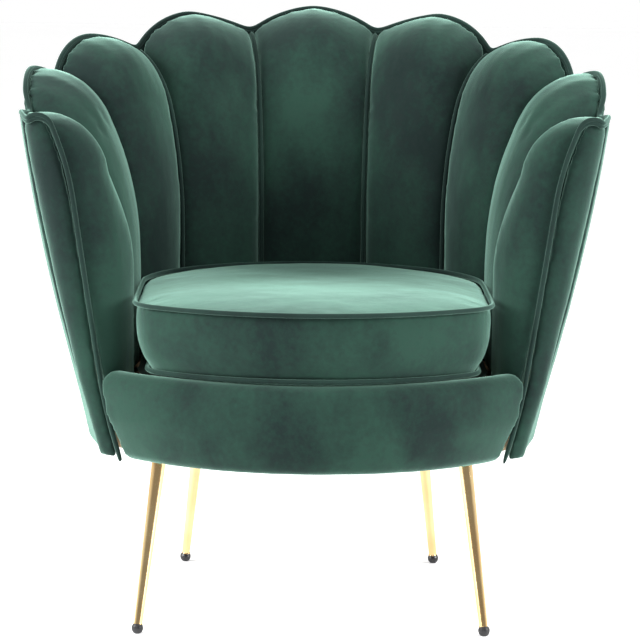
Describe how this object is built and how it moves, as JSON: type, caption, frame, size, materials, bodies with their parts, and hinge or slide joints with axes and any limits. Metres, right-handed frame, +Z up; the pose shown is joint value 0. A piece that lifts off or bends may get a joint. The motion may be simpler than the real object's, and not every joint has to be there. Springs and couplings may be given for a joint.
{
  "type": "scallop back tub chair",
  "caption": "Low tub armchair with a scalloped, channelled back and arms, a loose boxed seat cushion with piping, and splayed tapered metal legs.",
  "frame": {"origin": "middle of the overall plan box, on the floor", "axes": "+Z up, -Y out of the seat's front, +X to the right when the chair is seen from the front"},
  "size_m": [0.8248, 0.7684, 0.8347],
  "materials": {
    "velvet": "short pile velvet, dark green with a pale sheen",
    "velvet_piping": "velvet covered cord",
    "plywood": "unfinished",
    "webbing": "woven",
    "foam": "open foam",
    "deck_cloth": "plain cloth",
    "dust_cloth": "thin non-woven cloth",
    "gold_metal": "polished",
    "zinc_steel": "plain",
    "black_plastic": "satin"
  },
  "bodies": {
    "chair": {"arm_front_left": "velvet", "arm_front_right": "velvet", "back_posts": "plywood", "deck_cloth": "deck_cloth", "deck_pad": "foam", "dust_cloth": "dust_cloth", "frame_base_ring": "plywood", "frame_front_board": "plywood", "frame_seat_ring": "plywood", "frame_uprights": "plywood", "front_rail_cover": "velvet", "glide_front_left": "black_plastic", "glide_front_right": "black_plastic", "glide_rear_left": "black_plastic", "glide_rear_right": "black_plastic", "leg_front_left": "gold_metal", "leg_front_right": "gold_metal", "leg_plate_front_left": "zinc_steel", "leg_plate_front_right": "zinc_steel", "leg_plate_rear_left": "zinc_steel", "leg_plate_rear_right": "zinc_steel", "leg_rear_left": "gold_metal", "leg_rear_right": "gold_metal", "leg_screws": "zinc_steel", "outside_panel_1": "velvet", "outside_panel_2": "velvet", "outside_panel_3": "velvet", "outside_panel_4": "velvet", "outside_panel_5": "velvet", "outside_panel_6": "velvet", "outside_panel_7": "velvet", "outside_panel_8": "velvet", "outside_panel_9": "velvet", "petal_1": "velvet", "petal_2": "velvet", "petal_3": "velvet", "petal_4": "velvet", "petal_5": "velvet", "petal_6": "velvet", "petal_7": "velvet", "petal_8": "velvet", "petal_9": "velvet", "rim_piping": "velvet_piping", "seam_piping_1": "velvet_piping", "seam_piping_2": "velvet_piping", "seam_piping_3": "velvet_piping", "seam_piping_4": "velvet_piping", "seam_piping_5": "velvet_piping", "seam_piping_6": "velvet_piping", "seam_piping_7": "velvet_piping", "seam_piping_8": "velvet_piping", "seat_webbing": "webbing", "top_rails": "plywood"},
    "seat_cushion": {"cushion_core": "foam", "cushion_cover": "velvet", "cushion_piping_bottom": "velvet_piping", "cushion_piping_top": "velvet_piping"}
  },
  "joints": [
    {"name": "cushion_lift", "type": "slide", "parent": "chair", "child": "seat_cushion", "axis": [0, 0, 1], "range_m": [0, 0.3]}
  ]
}
